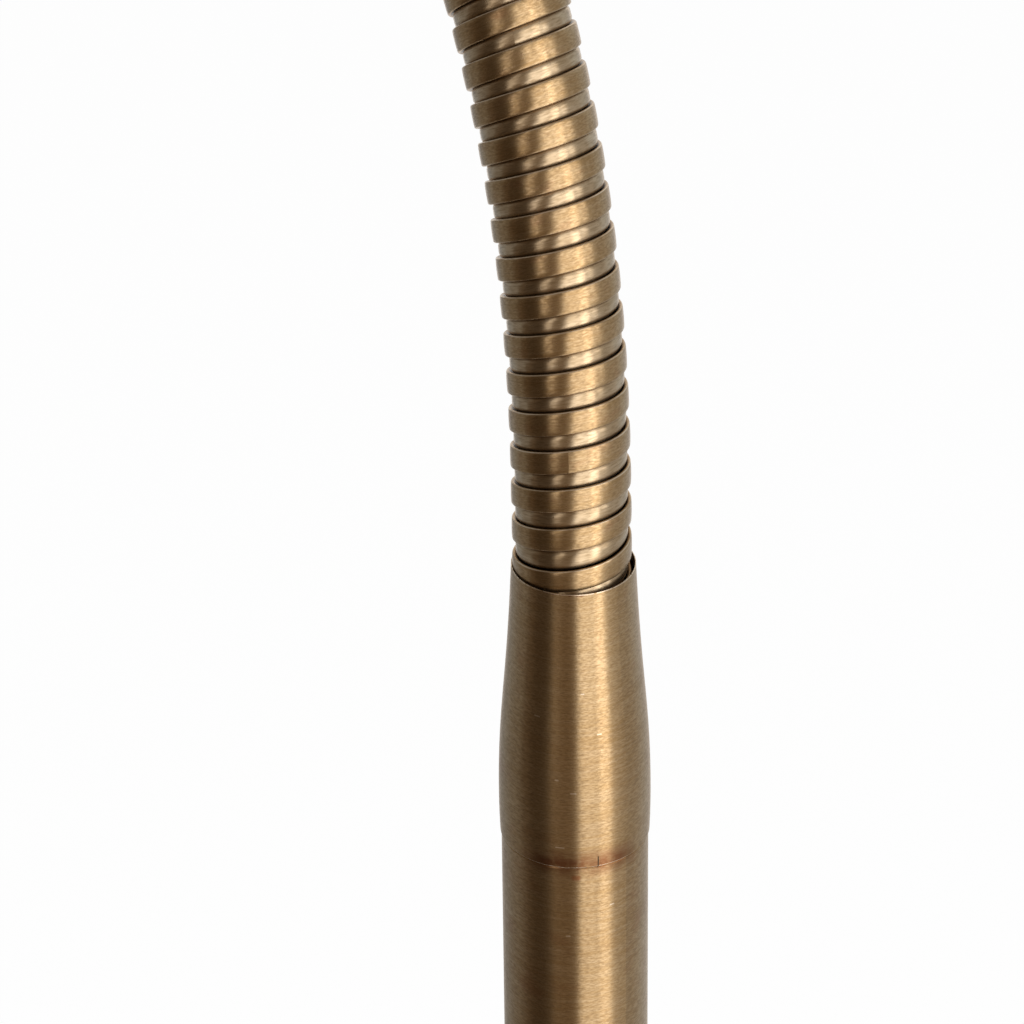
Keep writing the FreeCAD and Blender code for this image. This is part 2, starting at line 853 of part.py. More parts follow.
def build_lead():
    start = Vector(base_radius - gland_depth + lead_in_gland, 0, lead_height)
    lead_end = head.multVec(Vector(0, 0, sink_front - lead_end_gap))
    places = [lead_first_place]
    while places[-1] + 1.5 * lead_step < ferrule_mouth:
        places.append(places[-1] + lead_step)
    points = [start, Vector(0, 0, lead_height)]
    points += [neck.at(s)[0] for s in places]
    points += [neck.at(ferrule_mouth)[0], lead_end]
    radii = [lead_base_bend]
    for before, corner, after in zip(points[1:], points[2:], points[3:]):
        radii.append(easy_radius(before, corner, after))
    path = rounded_path(points, radii)
    circle = Part.makeCircle(lead_radius, start, Vector(-1, 0, 0))
    lead = path.makePipeShell([Part.Wire(circle)], True, True)
    export("inner_lead", lead)


build_base()
build_pole()
build_collar()
build_windings()
build_head_joint()
build_heat_sink()
build_housing()
build_light()
build_dimmer()
build_lead()
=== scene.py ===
"""Looks of a gooseneck reading floor lamp in brushed bronze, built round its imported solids.

Metres. +Z is up, and the origin is the centre of the base's underside. The neck arches towards -X.
"""

import json
import math

import bpy
import numpy as np
from mathutils import Matrix, Vector


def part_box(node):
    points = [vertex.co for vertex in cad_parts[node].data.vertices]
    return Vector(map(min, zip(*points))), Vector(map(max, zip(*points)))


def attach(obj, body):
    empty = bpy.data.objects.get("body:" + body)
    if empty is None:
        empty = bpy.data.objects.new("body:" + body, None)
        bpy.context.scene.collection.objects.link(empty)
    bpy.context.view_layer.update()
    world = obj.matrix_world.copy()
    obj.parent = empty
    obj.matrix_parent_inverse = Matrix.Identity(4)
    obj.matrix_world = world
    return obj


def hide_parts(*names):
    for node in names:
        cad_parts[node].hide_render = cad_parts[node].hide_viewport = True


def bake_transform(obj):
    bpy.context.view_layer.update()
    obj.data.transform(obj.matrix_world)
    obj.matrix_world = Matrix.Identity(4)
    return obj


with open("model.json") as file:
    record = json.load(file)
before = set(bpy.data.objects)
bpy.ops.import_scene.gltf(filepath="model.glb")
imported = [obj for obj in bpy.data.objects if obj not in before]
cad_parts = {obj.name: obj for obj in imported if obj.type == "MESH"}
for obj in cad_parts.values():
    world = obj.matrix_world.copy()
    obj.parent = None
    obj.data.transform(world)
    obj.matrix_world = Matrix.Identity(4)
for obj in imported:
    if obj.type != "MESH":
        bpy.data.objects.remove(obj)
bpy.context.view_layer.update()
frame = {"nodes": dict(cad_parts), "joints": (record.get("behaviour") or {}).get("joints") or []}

# ---------------------------------------------------------------- sizes that the frame gives
seam_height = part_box("neck_collar")[0].z
rim_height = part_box("neck_collar")[1].z
joints = {joint["name"]: joint for joint in frame["joints"]}
neck_joints = len(joints) - 1

# ---------------------------------------------------------------- neck: windings and their line
winding_pitch = 0.00643
wire_radius = 0.00235
wire_sides = 40
wire_crown_dent = 0.00011   # the drawn wire's outermost line is a little hollow
wire_dent_reach = 0.20      # radians round the wire, either way from that line
wire_helix_radius = 0.0070
band_radius = 0.00988
band_width = 0.0039
band_corner = 0.00035
band_corner_turns = (15, 38, 62, 85)        # degrees round the corner
band_crown = 0.00004        # how far the band's middle stands above its corners
band_crown_places = (0.0, 0.35, 0.7)        # shares of the way from its middle to a corner
band_shoulder = 2.2 * band_corner           # from its top to where the straight flanks begin
band_flank_angle = 35.0
band_tip = 0.00035
flank_clearance = 0.00015
band_settle = 0.75          # how far the band follows the wires towards the inside of a bend
turns_per_stretch = 5.25
winding_azimuth = 316.5     # where the wire's middle stands at winding_mark
winding_mark = 0.004917
lean_angle = 0.28
lean_azimuth = 226.5
kick_angle = 9.68
kick_azimuth = 128.1
kick_start = -0.002
kick_end = 0.012
arch_azimuth = 180.0
lower_bend_radius = 0.398
arch_bend_radius = 0.160
bend_ease_length = 0.097
neck_past_last_joint = 0.008
bush_floor_low = -0.0417
ferrule_bush_depth = 0.026  # from the ferrule's mouth to the floor of the bush inside it
bush_play = 0.0002
line_step = 0.00025
line_before_bush = 0.010    # the line is drawn this far past the floors of the two bushes
line_past_bush = 0.050
curvature_reach = 0.001
steps_per_turn = 72

# ---------------------------------------------------------------- lead inside the lamp
lead_radius = 0.0025
lead_height = 0.0064
lead_start = 0.119
lead_base_bend = 0.005
lead_in_head = 0.068        # how far past the ferrule's mouth the lead reaches
lead_foot = bush_floor_low - 0.008          # where the upright part of the lead ends
lead_foot_gap = 0.004       # from there to the part that follows the neck's line
lead_sides = 16
lead_rings = 24             # on each long stretch of the lead
lead_short_rings = 12
lead_head_rings = 10

# ---------------------------------------------------------------- camera
camera_azimuth = 316.5
camera_reach = 0.69095      # from the pole's axis
camera_above_seam = 0.47422
camera_pitch = 30.794
camera_yaw = -0.831
camera_roll = -0.744
camera_lens = 172.68
camera_sensor = 36.0
camera_nearest = 0.01

# ---------------------------------------------------------------- bronze tones
bronze = (0.42, 0.280, 0.140, 1.0)
bronze_deep = (0.365, 0.226, 0.100, 1.0)
bronze_dark = (0.24, 0.150, 0.073, 1.0)
bronze_red = (0.30, 0.125, 0.050, 1.0)
bronze_pale = (0.57, 0.42, 0.26, 1.0)
# pale tone for worn spots and scratches, also used for painted highlights along the collar's lip and the
# bands' edges
bronze_worn_and_highlight = (0.80, 0.66, 0.50, 1.0)
# near-black: the nick on the collar, and painted shade on the flanks of the neck's windings down in their
# grooves
tarnish_and_groove_shade = (0.050, 0.034, 0.020, 1.0)
residue = (0.19, 0.070, 0.028, 1.0)
wire_deep = (0.42, 0.300, 0.175, 1.0)
wire_bright = (0.54, 0.410, 0.265, 1.0)
lens_shade = (0.88, 0.88, 0.86, 1.0)
lens_white = (0.93, 0.93, 0.92, 1.0)


# ---------------------------------------------------------------- line of the neck
def horizontal(azimuth):
    angle = math.radians(azimuth)
    return Vector((math.cos(angle), math.sin(angle), 0))


def tilt(azimuth, degrees):
    """Rotation that tilts an upright line towards the azimuth."""
    return Matrix.Rotation(math.radians(degrees), 3, Vector((0, 0, 1)).cross(horizontal(azimuth)))


joint_spacing = turns_per_stretch * winding_pitch
first_joint = winding_mark + winding_pitch * (270.0 - winding_azimuth) / 360.0
joint_places = [first_joint + joint_spacing * k for k in range(neck_joints)]
ferrule_mouth = joint_places[-1] + neck_past_last_joint
bush_floor_high = ferrule_mouth + ferrule_bush_depth
leaned = tilt(lean_azimuth, lean_angle) @ Vector((0, 0, 1))
kicked = tilt(kick_azimuth, kick_angle) @ Vector((0, 0, 1))
arch_axis = kicked.cross(horizontal(arch_azimuth)).normalized()


def arch_turn(s):
    """Angle that the neck has turned over by arc length s, apart from the kick at the rim."""
    s = min(max(s, 0.0), ferrule_mouth)
    eased = min(s, bend_ease_length)
    sharpening = (1 / arch_bend_radius - 1 / lower_bend_radius) / bend_ease_length
    return eased / lower_bend_radius + sharpening * eased ** 2 / 2 + (s - eased) / arch_bend_radius


def direction(s):
    t = min(max((s - kick_start) / (kick_end - kick_start), 0.0), 1.0)
    kick = tilt(kick_azimuth, kick_angle * t * t * (3 - 2 * t))
    return Matrix.Rotation(arch_turn(s), 3, arch_axis) @ kick @ leaned


def normalized(rows):
    return rows / np.linalg.norm(rows, axis=1)[:, None]


class NeckLine:
    """Centre, direction and two cross directions along the neck, by arc length from the rim."""

    def __init__(self, start, end):
        count = int(math.ceil((end - start) / line_step)) + 1
        along = direction(start)
        side = (Vector((1, 0, 0)) - along * along.x).normalized()
        centre = Vector((0, 0, rim_height + start))
        rows = [[*centre, *along, *side]]
        for i in range(1, count + 1):
            new_along = direction(start + i * line_step)
            centre = centre + (along + new_along) * (line_step / 2)
            along = new_along
            side = (side - along * side.dot(along)).normalized()
            rows.append([*centre, *along, *side])
        self.places = start + line_step * np.arange(count + 1)
        self.rows = np.array(rows)

    def at(self, s):
        """Arrays of centre, direction and the two cross directions at the arc lengths s."""
        found = np.stack([np.interp(s, self.places, column) for column in self.rows.T], 1)
        centre, along, side = found[:, 0:3], normalized(found[:, 3:6]), found[:, 6:9]
        side = normalized(side - along * (side * along).sum(1)[:, None])
        return centre, along, side, np.cross(along, side)

    def curvature(self, s):
        past, before = self.at(s + curvature_reach)[1], self.at(s - curvature_reach)[1]
        return (past - before) / (2 * curvature_reach)

    def centre(self, s):
        return Vector(self.at(np.array([s]))[0][0])


neck = NeckLine(bush_floor_low - line_before_bush, bush_floor_high + line_past_bush)


# ---------------------------------------------------------------- meshes of windings and lead
def band_apex():
    """Radius where the band's two flanks would meet."""
    angle = math.radians(band_flank_angle)
    room = winding_pitch / 2 * math.cos(angle) - wire_radius - flank_clearance
    return wire_helix_radius - room / math.sin(angle)


def band_section():
    """(radius, offset) outline of the wedge-shaped band, crowned and with rounded outer corners."""
    slope = math.tan(math.radians(band_flank_angle))
    half = band_width / 2
    shoulder = band_radius - band_shoulder
    right = []
    for share in band_crown_places:
        right.append((band_radius - band_crown * share * share, (half - band_corner) * share))
    for turn in band_corner_turns:
        angle = math.radians(turn)
        right.append((
            band_radius - band_crown - band_corner * (1 - math.cos(angle)),
            half - band_corner + band_corner * math.sin(angle),
        ))
    right.append((shoulder, min(half, (shoulder - band_apex()) * slope)))
    right.append((band_apex() + band_tip, band_tip * slope))
    left = [(r, -offset) for r, offset in reversed(right[1:])]
    return right + left


def wire_section():
    """(radius, offset) outline of the round wire, a little hollow along its crown."""
    section = []
    for i in range(wire_sides):
        angle = 2 * math.pi * i / wire_sides
        off_crown = min(angle, 2 * math.pi - angle)
        radius = wire_radius - wire_crown_dent * math.exp(-(off_crown / wire_dent_reach) ** 2)
        section.append((wire_helix_radius + radius * math.cos(angle), radius * math.sin(angle)))
    return section


def lengths_along(points):
    """Length of the line through the points, up to each of them."""
    steps = np.linalg.norm(np.diff(np.array(points), axis=0), axis=1)
    return np.concatenate([[0.0], np.cumsum(steps)])


def lengths_round(section):
    """Length round a closed section, up to each corner and back to the first."""
    return lengths_along(section + section[:1])


def grid_mesh(name, rings, along, around):
    """Mesh of rings of points with closed ends and a UV map of metres along and around."""
    count, sides = rings.shape[:2]
    mesh = bpy.data.meshes.new(name)
    faces = []
    coordinates = []
    for i in range(count - 1):
        for j in range(sides):
            k = (j + 1) % sides
            faces.append((i * sides + j, i * sides + k, (i + 1) * sides + k, (i + 1) * sides + j))
            start, end, low, high = along[i], along[i + 1], around[j], around[j + 1]
            coordinates += [(start, low), (start, high), (end, high), (end, low)]
    faces.append(tuple(reversed(range(sides))))
    faces.append(tuple((count - 1) * sides + j for j in range(sides)))
    coordinates += [(along[0], around[j]) for j in reversed(range(sides))]
    coordinates += [(along[-1], around[j]) for j in range(sides)]
    mesh.from_pydata(rings.reshape(-1, 3).tolist(), [], faces)
    uv_map = mesh.uv_layers.new(name="UVMap")
    uv_map.data.foreach_set("uv", np.array(coordinates, np.float32).ravel())
    mesh.shade_smooth()
    ring_pairs = [(edge.vertices[0] // sides, edge.vertices[1] // sides) for edge in mesh.edges]
    sharp = mesh.attributes.new("sharp_edge", "BOOLEAN", "EDGE")
    sharp.data.foreach_set("value", [pair in ((0, 0), (count - 1, count - 1)) for pair in ring_pairs])
    mesh.update()
    piece = bpy.data.objects.new(name, mesh)
    bpy.context.scene.collection.objects.link(piece)
    return piece


def wire_azimuth(s):
    """Angle round the neck at which the wire's middle stands."""
    return math.radians(winding_azimuth) + 2 * math.pi * (s - winding_mark) / winding_pitch


def wound_piece(name, section, start, end, half_turn=0.0, settle=0.0):
    """Piece with a (radius, offset) section wound along the neck from start to end."""
    count = int(math.ceil((end - start) / winding_pitch * steps_per_turn)) + 1
    s = np.linspace(start, end, count)
    azimuth = wire_azimuth(s) - half_turn
    centre, along, side, across = neck.at(s)
    outward = side * np.cos(azimuth)[:, None] + across * np.sin(azimuth)[:, None]
    centre = centre + neck.curvature(s) * settle
    rings = np.stack([centre + outward * r + along * offset for r, offset in section], 1)
    length = (s - bush_floor_low) / winding_pitch * 2 * math.pi * wire_helix_radius
    return grid_mesh(name, rings, length, lengths_round(section))


def lead_piece(name, points):
    """Stretch of the round lead through the points."""
    points = np.array(points)
    along = normalized(np.gradient(points, axis=0))
    side = np.cross(along[0], [0.0, 1.0, 0.0])
    angles = 2 * math.pi * np.arange(lead_sides) / lead_sides
    rings = []
    for point, heading in zip(points, along):
        side = side - heading * (side @ heading)
        side = side / np.linalg.norm(side)
        outward = np.outer(np.cos(angles), side) + np.outer(np.sin(angles), np.cross(heading, side))
        rings.append(point + lead_radius * outward)
    around = 2 * math.pi * lead_radius * np.arange(lead_sides + 1) / lead_sides
    return grid_mesh(name, np.array(rings), lengths_along(points), around)


def settle_factor():
    """How far the band moves towards the inside of a bend, for each unit of curvature."""
    lever = winding_pitch / 2 * wire_helix_radius / math.tan(math.radians(band_flank_angle))
    return band_settle * lever


def build_neck():
    """Wire, band and lead of the neck: one piece of each for every flex point, bent across it."""
    wires, bands, leads = [], [], []
    middles = [place + joint_spacing / 2 for place in joint_places[:-1]]
    cuts = [None] + middles + [None]
    for k in range(1, neck_joints + 1):
        low, high = cuts[k - 1], cuts[k]
        wire_low = bush_floor_low + wire_radius + bush_play if low is None else low
        wire_high = bush_floor_high - wire_radius - bush_play if high is None else high
        band_low = bush_floor_low + band_width / 2 + bush_play if low is None else low
        band_high = bush_floor_high - band_width / 2 - bush_play if high is None else high
        bend_start = 0.0 if low is None else low
        bend_end = ferrule_mouth if high is None else high
        wire = wound_piece("neck_wire_%02d" % k, wire_section(), wire_low, wire_high)
        band = wound_piece(
            "neck_band_%02d" % k, band_section(), band_low, band_high, math.pi, settle_factor()
        )
        places = np.linspace(bend_start, bend_end, lead_rings)
        lead = lead_piece("neck_lead_%02d" % k, neck.at(places)[0])
        for piece in (wire, band, lead):
            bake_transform(piece)
        replaced = [0, 1] if k == 1 else [k]
        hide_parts(*["inner_winding_%02d" % i for i in replaced])
        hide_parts(*["outer_winding_%02d" % i for i in replaced])
        wires.append(wire)
        bands.append(band)
        leads.append(lead)
    return wires, bands, leads


def build_lead_ends():
    """The lead from the gland up to the collar's rim, and from the ferrule's mouth into the head."""
    reaches = np.linspace(lead_start, 2 * lead_base_bend, lead_short_rings)
    level = [(x, 0.0, lead_height) for x in reaches]
    bend = []
    for turn in range(0, 91, 10):
        angle = math.radians(turn)
        height = lead_height + lead_base_bend * (1 - math.cos(angle))
        bend.append((lead_base_bend * (1 - math.sin(angle)), 0.0, height))
    heights = np.linspace(lead_height + 2 * lead_base_bend, rim_height + lead_foot, lead_rings)
    rising = [(0.0, 0.0, z) for z in heights]
    held = neck.at(np.linspace(lead_foot + lead_foot_gap, 0.0, lead_short_rings))[0]
    lower = lead_piece("stand_lead", level + bend + rising + [tuple(place) for place in held])
    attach(lower, "stand")
    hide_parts("inner_lead")
    mouth = neck.at(np.array([ferrule_mouth]))
    reach = np.linspace(0.0, lead_in_head, lead_head_rings)[:, None]
    upper = lead_piece("head_lead", mouth[0] + mouth[1] * reach)
    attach(upper, "head")
    return [lower, upper]


# ---------------------------------------------------------------- materials
knob_distance = 0.092       # from the ferrule's mouth to the knob's axis

# Scales of noise, in waves per metre.
speck_scale = 1500.0
smear_scale = 260.0
blotch_scale = 150.0
slow_scale = 60.0
cloud_scale = 42.0
lens_grain_scale = 5000.0
lens_cloud_scale = 25.0

# Spans of noise, low and high, over which one tone gives way to another.
cloud_span = (0.35, 0.65)
line_span = (0.38, 0.72)
wire_line_span = (0.36, 0.70)
blotch_span = (0.58, 0.76)
patch_span = (0.56, 0.72)
dark_span = (0.30, 0.56)
pale_span = (0.52, 0.72)
grain_span = (0.3, 0.7)
stain_span = (0.30, 0.52)
seam_wear_span = (0.38, 0.50)
grime_span = (0.50, 0.60)
# where the painted highlight along the lip of the collar's rim is strong
lip_highlight_span = (0.34, 0.48)
# where the painted highlight along the upper edges of the neck's bands is strong
edge_highlight_span = (0.34, 0.56)

# Strongest share of each mark.
stain_share = 0.85
spot_share = 0.8
# painted highlight along the lip of the collar's rim
lip_highlight_share = 0.8
scratch_share = 0.6
# painted highlights along the bands' edges: a weak one along both edges, and a stronger one along the
# upper edge whose strength changes along it
weak_edge_highlight_share = 0.12
edge_highlight_shares = (0.15, 0.6)

# Bumps: strength and depth.
brushing_bump = (0.60, 0.00002)
wire_bump = (0.15, 0.00003)
lens_bump = (0.2, 0.00003)

# Marks round the collar. Each place is low, high and the soft width outside them. Angles are radians
# from the front, and heights are from the seam up or from the rim down.
stain_angles = (-0.45, 0.65, 0.30)
stain_heights = (0.0003, 0.0013, 0.0028)
seam_wear_heights = (0.00003, 0.0003, 0.00006)
nick_angles = (0.305, 0.316, 0.006)
nick_heights = (0.0, 0.0021, 0.0003)
spot_angles = (-0.03, 0.05, 0.04)
spot_heights = (-0.0023, -0.0017, 0.0004)
grime_angles = (-0.50, 0.12, 0.10)
grime_depths = (0.00010, 0.00026, 0.00014)
# painted highlight along the top face of the collar's lip
lip_highlight_depths = (-0.001, 0.00012, 0.00008)
scratch_soft_angle = 0.010
scratch_soft_height = 0.00008
# Small ticks: angle, height above the seam, half length, half height.
scratches = [
    (-0.02, 0.0153, 0.035, 0.00010), (-0.24, 0.0177, 0.020, 0.00012), (-0.20, 0.0043, 0.055, 0.00008),
    (0.35, 0.0262, 0.030, 0.00008), (0.12, 0.0341, 0.020, 0.00008), (-0.55, 0.0291, 0.040, 0.00010),
    (0.52, -0.0085, 0.030, 0.00008), (-0.10, -0.0140, 0.025, 0.00010),
]

# Places round the windings' sections, in metres from the crown: painted highlights along the bands' edges
# (low, high and the soft width outside them) and the spans over which painted shade darkens the flanks
# down in the grooves.
band_upper_highlight = (0.00180, 0.00190, 0.00007)
band_weak_highlight = (0.00178, 0.00188, 0.00010)
band_flank_shade_span = (0.00215, 0.0026)
wire_flank_shade_span = (0.0014, 0.0026)

# Plain finishes: name, tone, other tone, roughness, grain, bump strength, metallic, and their nodes.
plain_finishes = [
    ("sink_aluminium", (0.30, 0.20, 0.115), (0.22, 0.145, 0.08), 0.42, 0.0002, 0.15, 1.0, ["heat_sink"]),
    ("plated_steel", (0.62, 0.62, 0.60), (0.48, 0.48, 0.47), 0.32, 0.0003, 0.1, 1.0, [
        "base_washer", "base_nut", "base_nipple", "collar_nut", "head_nut", "head_screws",
        "coupler_lower", "coupler_upper", "pole_plug", "collar_plug",
    ]),
    ("turned_brass", (0.72, 0.55, 0.28), (0.60, 0.44, 0.20), 0.3, 0.0003, 0.1, 1.0,
     ["neck_bush", "head_bush"]),
    ("cast_iron", (0.05, 0.05, 0.052), (0.03, 0.03, 0.032), 0.6, 0.0012, 0.5, 0.0, ["base_weight"]),
    ("foot_rubber", (0.03, 0.03, 0.03), (0.018, 0.018, 0.018), 0.75, 0.0008, 0.4, 0.0, ["base_pad"]),
    ("black_plastic", (0.03, 0.03, 0.03), (0.02, 0.02, 0.02), 0.45, 0.0004, 0.25, 0.0,
     ["cable_gland", "dimmer_pot"]),
    ("white_board", (0.82, 0.82, 0.80), (0.74, 0.74, 0.72), 0.35, 0.0006, 0.1, 0.0, ["led_board"]),
    ("bright_reflector", (0.86, 0.86, 0.87), (0.80, 0.80, 0.81), 0.15, 0.0004, 0.05, 1.0, ["reflector"]),
]
lead_finish = ("lead_sheath", (0.06, 0.045, 0.03), (0.04, 0.03, 0.02), 0.6, 0.0004, 0.2, 0.0)


def add_node(tree, kind, inputs, **settings):
    """New node with its settings, and with values or links for its inputs."""
    node = tree.nodes.new(kind)
    for key, value in settings.items():
        setattr(node, key, value)
    for key, value in inputs.items():
        if isinstance(value, bpy.types.NodeSocket):
            tree.links.new(value, node.inputs[key])
        else:
            node.inputs[key].default_value = value
    return node


class Finish:
    """A node material while it is being put together."""

    def __init__(self, name, **surface):
        self.material = bpy.data.materials.new(name)
        self.material.use_nodes = True
        self.tree = self.material.node_tree
        self.surface = self.tree.nodes["Principled BSDF"]
        for socket, value in surface.items():
            self.surface.inputs[socket.replace("_", " ").title()].default_value = value

    def add(self, kind, inputs, **settings):
        return add_node(self.tree, kind, inputs, **settings)

    def math(self, operation, a, b=0.0):
        return self.add("ShaderNodeMath", {0: a, 1: b}, operation=operation).outputs[0]

    def normalize(self, vector):
        return self.add("ShaderNodeVectorMath", {0: vector}, operation="NORMALIZE").outputs[0]

    def noise(self, vector, scale, detail=2.0, roughness=0.5):
        inputs = {"Vector": vector, "Scale": scale, "Detail": detail, "Roughness": roughness}
        return self.add("ShaderNodeTexNoise", inputs).outputs["Fac"]

    def remap(self, value, low, high, to_low=0.0, to_high=1.0):
        inputs = {"Value": value, "From Min": low, "From Max": high, "To Min": to_low, "To Max": to_high}
        return self.add("ShaderNodeMapRange", inputs, clamp=True).outputs["Result"]

    def mix(self, amount, a, b):
        return self.add("ShaderNodeMix", {0: amount, 6: a, 7: b}, data_type="RGBA").outputs[2]

    def layers(self, colour, *layers):
        """Colour with tones laid over it: noise, its span, the shares at the span's ends, tone."""
        for noise, span, shares, tone in layers:
            colour = self.mix(self.remap(noise, *span, *shares), colour, tone)
        return colour

    def combine(self, x, y, z):
        return self.add("ShaderNodeCombineXYZ", {0: x, 1: y, 2: z}).outputs[0]

    def separate(self, vector):
        return self.add("ShaderNodeSeparateXYZ", {0: vector}).outputs

    def bump(self, height, strength, distance):
        inputs = {"Height": height, "Strength": strength, "Distance": distance}
        return self.add("ShaderNodeBump", inputs).outputs["Normal"]

    def object_place(self):
        return self.add("ShaderNodeTexCoord", {}).outputs["Object"]

    def window(self, value, low, high, soft):
        """1 between low and high, falling to 0 within soft outside them."""
        rise = self.remap(value, low - soft, low)
        fall = self.remap(value, high, high + soft, 1.0, 0.0)
        return self.product(rise, fall)

    def product(self, first, *others):
        for other in others:
            first = self.math("MULTIPLY", first, other)
        return first

    def link(self, **sockets):
        for name, socket in sockets.items():
            self.tree.links.new(socket, self.surface.inputs[name.replace("_", " ").title()])


def head_matrix():
    """Frame of the head: +Z runs out along its axis from the ferrule's mouth, +X is its upper side."""
    mouth, along = [Vector(rows[0]) for rows in neck.at(np.array([ferrule_mouth]))[:2]]
    upper = (Vector((0, 0, 1)) - along * along.z).normalized()
    across = along.cross(upper)
    return Matrix.Translation(mouth) @ Matrix((upper, across, along)).transposed().to_4x4()


upright = Matrix.Rotation(math.radians(camera_azimuth), 4, "Z")     # +X is the front
head_frame = head_matrix()
knob_turn = Matrix.Rotation(math.radians(90), 4, "Y")
knob_frame = head_frame @ Matrix.Translation((0, 0, knob_distance)) @ knob_turn


class Turned:
    """Coordinates of a surface turned about the Z axis of a frame, and the way of its brushing."""

    def __init__(self, finish, axis_frame):
        origin = axis_frame.to_translation()
        angles = axis_frame.to_euler()
        place = {"Vector": finish.object_place(), "Location": origin, "Rotation": angles}
        self.local = finish.add("ShaderNodeMapping", place, vector_type="TEXTURE").outputs[0]
        x, y, self.height = finish.separate(self.local)
        flat = finish.combine(x, y, 0.0)
        radius = finish.add("ShaderNodeVectorMath", {0: flat}, operation="LENGTH").outputs["Value"]
        self.round = finish.normalize(flat)
        self.angle = finish.math("ARCTAN2", y, x)
        self.profile = finish.math("SUBTRACT", self.height, radius)
        around = {"Vector": finish.combine(finish.product(y, -1.0), x, 0.0), "Rotation": angles}
        turned = finish.add("ShaderNodeMapping", around, vector_type="VECTOR")
        world = finish.add(
            "ShaderNodeVectorTransform", {0: turned.outputs[0]},
            vector_type="VECTOR", convert_from="OBJECT", convert_to="WORLD",
        )
        self.tangent = finish.normalize(world.outputs[0])

    def streaks(self, finish, length, width, detail):
        """Noise drawn out round the axis: length is in radians, width in metres."""
        x, y, _ = finish.separate(self.round)
        across = finish.product(self.profile, 1 / width)
        vector = finish.combine(finish.product(x, 1 / length), finish.product(y, 1 / length), across)
        return finish.noise(vector, 1.0, detail)


def collar_marks(finish, turned, colour):
    """Stains and worn edges round the collar at its seam with the pole, and a painted highlight along the
    lip of its rim.
    """
    speck = finish.noise(turned.local, speck_scale, 2.0, 0.6)
    smear = finish.noise(turned.local, smear_scale, 3.0, 0.6)
    above = finish.math("SUBTRACT", turned.height, seam_height)
    below_rim = finish.math("SUBTRACT", rim_height, turned.height)
    angle = turned.angle

    stain = finish.product(
        finish.remap(smear, *stain_span), finish.window(angle, *stain_angles),
        finish.window(above, *stain_heights), stain_share,
    )
    seam_wear = finish.product(
        finish.window(above, *seam_wear_heights), finish.remap(smear, *seam_wear_span)
    )
    nick = finish.product(finish.window(angle, *nick_angles), finish.window(above, *nick_heights))
    spot = finish.product(
        finish.window(angle, *spot_angles), finish.window(above, *spot_heights), spot_share
    )
    grime = finish.product(
        finish.remap(speck, *grime_span), finish.window(angle, *grime_angles),
        finish.window(below_rim, *grime_depths),
    )
    # painted highlight: a pale line along the top face of the rim's lip
    lip_highlight = finish.product(
        finish.window(below_rim, *lip_highlight_depths), finish.remap(speck, *lip_highlight_span), lip_highlight_share
    )
    marks = [
        (stain, residue), (seam_wear, bronze_worn_and_highlight), (nick, tarnish_and_groove_shade), (spot, bronze_red),
        (grime, residue), (lip_highlight, bronze_worn_and_highlight),
    ]
    for centre, height, half_length, half_height in scratches:
        tick = finish.product(
            finish.window(angle, centre - half_length, centre + half_length, scratch_soft_angle),
            finish.window(above, height - half_height, height + half_height, scratch_soft_height),
            scratch_share,
        )
        marks.append((tick, bronze_worn_and_highlight))
    for amount, tone in marks:
        colour = finish.mix(amount, colour, tone)
    return colour


def brushed_bronze(name, axis_frame, marked=False):
    """Bronze brushed round the axis of the frame, in short fine flecks over longer lines."""
    finish = Finish(name, metallic=1.0, anisotropic=0.85, anisotropic_rotation=0.25)
    turned = Turned(finish, axis_frame)
    fleck = turned.streaks(finish, 0.065, 0.00022, 2.0)
    line = turned.streaks(finish, 0.55, 0.0005, 3.0)
    cloud = finish.noise(turned.local, cloud_scale, 3.0, 0.6)
    blotch = finish.noise(turned.local, blotch_scale, 2.0, 0.55)
    colour = finish.layers(
        finish.mix(finish.remap(cloud, *cloud_span), bronze_deep, bronze),
        (line, line_span, (0.0, 0.40), bronze_pale),
        (blotch, blotch_span, (0.0, 0.35), bronze_red),
        (fleck, dark_span, (0.62, 0.0), bronze_dark),
        (fleck, pale_span, (0.0, 0.25), bronze_pale),
    )
    if marked:
        colour = collar_marks(finish, turned, colour)
    finish.link(
        base_color=colour, roughness=finish.remap(fleck, *grain_span, 0.38, 0.29),
        tangent=turned.tangent, normal=finish.bump(fleck, *brushing_bump),
    )
    return finish.material


class Wound:
    """Coordinates of a winding, from the piece's UV map, and the way along it."""

    def __init__(self, finish, section):
        place = finish.add("ShaderNodeUVMap", {}, uv_map="UVMap").outputs[0]
        self.along, self.around, _ = finish.separate(place)
        tangent = finish.add("ShaderNodeTangent", {}, direction_type="UV_MAP", uv_map="UVMap")
        self.tangent = tangent.outputs[0]
        girth = float(lengths_round(section)[-1])
        rest = finish.math("SUBTRACT", girth, self.around)
        self.off_crown = finish.math("MINIMUM", self.around, rest)

    def streaks(self, finish, length, width, detail=2.0):
        """Noise drawn out along the winding, in metres."""
        along, around = finish.product(self.along, 1 / length), finish.product(self.around, 1 / width)
        return finish.noise(finish.combine(along, around, 0.0), 1.0, detail)


